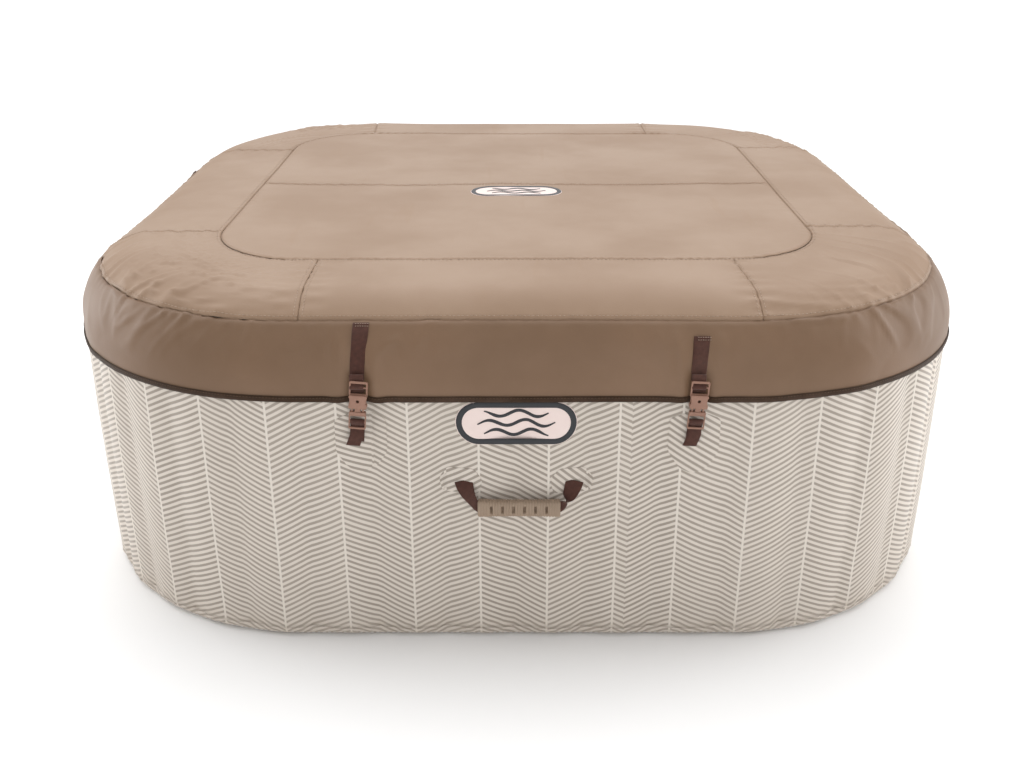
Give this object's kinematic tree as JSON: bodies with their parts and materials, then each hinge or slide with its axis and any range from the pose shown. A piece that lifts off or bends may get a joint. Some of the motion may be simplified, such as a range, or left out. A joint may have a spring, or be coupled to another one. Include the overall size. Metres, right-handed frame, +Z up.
{
  "type": "inflatable hot tub",
  "caption": "Rounded-square inflatable hot tub with a herringbone-printed wall, carrying handles and a buckled tan vinyl cover over an air cushion.",
  "frame": {"origin": "on the ground under the middle of the tub", "axes": "+Z up, -Y towards the front with the badge and the front handle, +X to the right as seen from the front"},
  "size_m": [1.886, 1.886, 0.6863],
  "materials": {
    "printed_laminate": "satin cream laminate with a hand-drawn herringbone print",
    "plain_laminate": "satin off-white laminate",
    "web_fabric": "woven polyester web",
    "badge": "printed patch, pale with a dark edge and plain wave lines",
    "white_plastic": "moulded, satin white",
    "grey_plastic": "moulded, satin grey",
    "cover_vinyl": "satin tan vinyl-coated fabric",
    "hem_tape": "dark brown woven binding",
    "pocket_sheet": "satin pale sheet",
    "cushion_film": "welded air cushion film",
    "zip_tape": "woven zip tape with a nylon coil",
    "zip_metal": "plated zip slider",
    "webbing": "dark plum woven webbing",
    "buckle_plastic": "moulded rose-beige acetal",
    "grip_plastic": "moulded soft beige grip"
  },
  "bodies": {
    "tub": {"tub_floor": "plain_laminate", "base_band": "plain_laminate", "outer_wall": "printed_laminate", "rim_top": "plain_laminate", "inner_wall": "plain_laminate", "wall_webs": "web_fabric", "bubble_channel": "plain_laminate", "air_duct": "plain_laminate", "wall_patches": "printed_laminate", "tub_badge": "badge", "water_ports": "white_plastic", "air_port": "white_plastic", "drain_fitting": "white_plastic", "port_nuts": "grey_plastic", "strainer_grids": "white_plastic", "air_valve_body": "white_plastic", "tub_straps": "webbing", "buckle_plugs": "buckle_plastic"},
    "cover": {"cover_front_panel": "cover_vinyl", "cover_back_panel": "cover_vinyl", "cover_side_ring": "cover_vinyl", "cover_corner_ring": "cover_vinyl", "cover_skirt": "cover_vinyl", "hem_binding": "hem_tape", "cover_pocket": "pocket_sheet", "air_cushion": "cushion_film", "cushion_valve": "white_plastic", "pocket_zip": "zip_tape", "cover_straps": "webbing", "buckle_sockets": "buckle_plastic", "cover_badge": "badge"},
    "front_handle": {"front_handle_strap": "webbing", "front_handle_grip": "grip_plastic"},
    "left_handle": {"left_handle_strap": "webbing", "left_handle_grip": "grip_plastic"},
    "right_handle": {"right_handle_strap": "webbing", "right_handle_grip": "grip_plastic"},
    "water_cap_left": {"water_cap_left": "grey_plastic"},
    "water_cap_right": {"water_cap_right": "grey_plastic"},
    "air_port_cap": {"air_port_cap": "grey_plastic"},
    "drain_cap": {"drain_cap": "grey_plastic"},
    "air_valve_cap": {"air_valve_cap": "grey_plastic"},
    "cushion_plug": {"cushion_plug": "grey_plastic"},
    "zip_slider": {"zip_slider": "zip_metal"},
    "arm_front_left_1": {"arm_front_left_1": "buckle_plastic"},
    "arm_front_left_2": {"arm_front_left_2": "buckle_plastic"},
    "arm_front_right_1": {"arm_front_right_1": "buckle_plastic"},
    "arm_front_right_2": {"arm_front_right_2": "buckle_plastic"},
    "arm_right_left_1": {"arm_right_left_1": "buckle_plastic"},
    "arm_right_left_2": {"arm_right_left_2": "buckle_plastic"},
    "arm_right_right_1": {"arm_right_right_1": "buckle_plastic"},
    "arm_right_right_2": {"arm_right_right_2": "buckle_plastic"},
    "arm_back_left_1": {"arm_back_left_1": "buckle_plastic"},
    "arm_back_left_2": {"arm_back_left_2": "buckle_plastic"},
    "arm_back_right_1": {"arm_back_right_1": "buckle_plastic"},
    "arm_back_right_2": {"arm_back_right_2": "buckle_plastic"},
    "arm_left_left_1": {"arm_left_left_1": "buckle_plastic"},
    "arm_left_left_2": {"arm_left_left_2": "buckle_plastic"},
    "arm_left_right_1": {"arm_left_right_1": "buckle_plastic"},
    "arm_left_right_2": {"arm_left_right_2": "buckle_plastic"}
  },
  "joints": [
    {"name": "cover_lift", "type": "slide", "parent": "tub", "child": "cover", "axis": [0, 0, 1], "range_m": [0, 0.5]},
    {"name": "front_handle_swing", "type": "hinge", "parent": "tub", "child": "front_handle", "pos_m": [0, -0.916, 0.35], "axis": [-1, 0, 0], "range_deg": [0, 120]},
    {"name": "left_handle_swing", "type": "hinge", "parent": "tub", "child": "left_handle", "pos_m": [-0.916, 0, 0.35], "axis": [0, 1, 0], "range_deg": [0, 120]},
    {"name": "right_handle_swing", "type": "hinge", "parent": "tub", "child": "right_handle", "pos_m": [0.916, 0, 0.35], "axis": [0, -1, 0], "range_deg": [0, 120]},
    {"name": "water_cap_left_pull", "type": "slide", "parent": "tub", "child": "water_cap_left", "axis": [0, 1, 0], "range_m": [0, 0.04]},
    {"name": "water_cap_right_pull", "type": "slide", "parent": "tub", "child": "water_cap_right", "axis": [0, 1, 0], "range_m": [0, 0.04]},
    {"name": "air_port_cap_pull", "type": "slide", "parent": "tub", "child": "air_port_cap", "axis": [0, 1, 0], "range_m": [0, 0.04]},
    {"name": "drain_cap_pull", "type": "slide", "parent": "tub", "child": "drain_cap", "axis": [0, 1, 0], "range_m": [0, 0.04]},
    {"name": "air_valve_cap_flip", "type": "hinge", "parent": "tub", "child": "air_valve_cap", "pos_m": [-0.9175, -0.274, 0.263], "axis": [0, -1, 0], "range_deg": [0, 130]},
    {"name": "cushion_plug_pull", "type": "slide", "parent": "cover", "child": "cushion_plug", "axis": [0, 0, -1], "range_m": [0, 0.02]},
    {"name": "zip_slide", "type": "slide", "parent": "cover", "child": "zip_slider", "axis": [1, 0, 0], "range_m": [0, 0.752]},
    {"name": "arm_front_left_1_press", "type": "hinge", "parent": "tub", "child": "arm_front_left_1", "pos_m": [-0.2906, -0.9275, 0.499], "axis": [0, -1, 0], "range_deg": [-12, 0], "stiffness_Nm_per_rad": 0.05},
    {"name": "arm_front_left_2_press", "type": "hinge", "parent": "tub", "child": "arm_front_left_2", "pos_m": [-0.2714, -0.9275, 0.499], "axis": [0, -1, 0], "range_deg": [0, 12], "stiffness_Nm_per_rad": 0.05},
    {"name": "arm_front_right_1_press", "type": "hinge", "parent": "tub", "child": "arm_front_right_1", "pos_m": [0.3124, -0.9275, 0.499], "axis": [0, -1, 0], "range_deg": [-12, 0], "stiffness_Nm_per_rad": 0.05},
    {"name": "arm_front_right_2_press", "type": "hinge", "parent": "tub", "child": "arm_front_right_2", "pos_m": [0.3316, -0.9275, 0.499], "axis": [0, -1, 0], "range_deg": [0, 12], "stiffness_Nm_per_rad": 0.05},
    {"name": "arm_right_left_1_press", "type": "hinge", "parent": "tub", "child": "arm_right_left_1", "pos_m": [0.9275, -0.2906, 0.499], "axis": [1, 0, 0], "range_deg": [-12, 0], "stiffness_Nm_per_rad": 0.05},
    {"name": "arm_right_left_2_press", "type": "hinge", "parent": "tub", "child": "arm_right_left_2", "pos_m": [0.9275, -0.2714, 0.499], "axis": [1, 0, 0], "range_deg": [0, 12], "stiffness_Nm_per_rad": 0.05},
    {"name": "arm_right_right_1_press", "type": "hinge", "parent": "tub", "child": "arm_right_right_1", "pos_m": [0.9275, 0.3124, 0.499], "axis": [1, 0, 0], "range_deg": [-12, 0], "stiffness_Nm_per_rad": 0.05},
    {"name": "arm_right_right_2_press", "type": "hinge", "parent": "tub", "child": "arm_right_right_2", "pos_m": [0.9275, 0.3316, 0.499], "axis": [1, 0, 0], "range_deg": [0, 12], "stiffness_Nm_per_rad": 0.05},
    {"name": "arm_back_left_1_press", "type": "hinge", "parent": "tub", "child": "arm_back_left_1", "pos_m": [0.2906, 0.9275, 0.499], "axis": [0, 1, 0], "range_deg": [-12, 0], "stiffness_Nm_per_rad": 0.05},
    {"name": "arm_back_left_2_press", "type": "hinge", "parent": "tub", "child": "arm_back_left_2", "pos_m": [0.2714, 0.9275, 0.499], "axis": [0, 1, 0], "range_deg": [0, 12], "stiffness_Nm_per_rad": 0.05},
    {"name": "arm_back_right_1_press", "type": "hinge", "parent": "tub", "child": "arm_back_right_1", "pos_m": [-0.3124, 0.9275, 0.499], "axis": [0, 1, 0], "range_deg": [-12, 0], "stiffness_Nm_per_rad": 0.05},
    {"name": "arm_back_right_2_press", "type": "hinge", "parent": "tub", "child": "arm_back_right_2", "pos_m": [-0.3316, 0.9275, 0.499], "axis": [0, 1, 0], "range_deg": [0, 12], "stiffness_Nm_per_rad": 0.05},
    {"name": "arm_left_left_1_press", "type": "hinge", "parent": "tub", "child": "arm_left_left_1", "pos_m": [-0.9275, 0.2906, 0.499], "axis": [-1, 0, 0], "range_deg": [-12, 0], "stiffness_Nm_per_rad": 0.05},
    {"name": "arm_left_left_2_press", "type": "hinge", "parent": "tub", "child": "arm_left_left_2", "pos_m": [-0.9275, 0.2714, 0.499], "axis": [-1, 0, 0], "range_deg": [0, 12], "stiffness_Nm_per_rad": 0.05},
    {"name": "arm_left_right_1_press", "type": "hinge", "parent": "tub", "child": "arm_left_right_1", "pos_m": [-0.9275, -0.3124, 0.499], "axis": [-1, 0, 0], "range_deg": [-12, 0], "stiffness_Nm_per_rad": 0.05},
    {"name": "arm_left_right_2_press", "type": "hinge", "parent": "tub", "child": "arm_left_right_2", "pos_m": [-0.9275, -0.3316, 0.499], "axis": [-1, 0, 0], "range_deg": [0, 12], "stiffness_Nm_per_rad": 0.05}
  ],
  "couplings": [
    {"joint": "arm_front_left_1_press", "follows": "arm_front_left_2_press", "ratio": -1},
    {"joint": "arm_front_right_1_press", "follows": "arm_front_right_2_press", "ratio": -1},
    {"joint": "arm_right_left_1_press", "follows": "arm_right_left_2_press", "ratio": -1},
    {"joint": "arm_right_right_1_press", "follows": "arm_right_right_2_press", "ratio": -1},
    {"joint": "arm_back_left_1_press", "follows": "arm_back_left_2_press", "ratio": -1},
    {"joint": "arm_back_right_1_press", "follows": "arm_back_right_2_press", "ratio": -1},
    {"joint": "arm_left_left_1_press", "follows": "arm_left_left_2_press", "ratio": -1},
    {"joint": "arm_left_right_1_press", "follows": "arm_left_right_2_press", "ratio": -1}
  ]
}
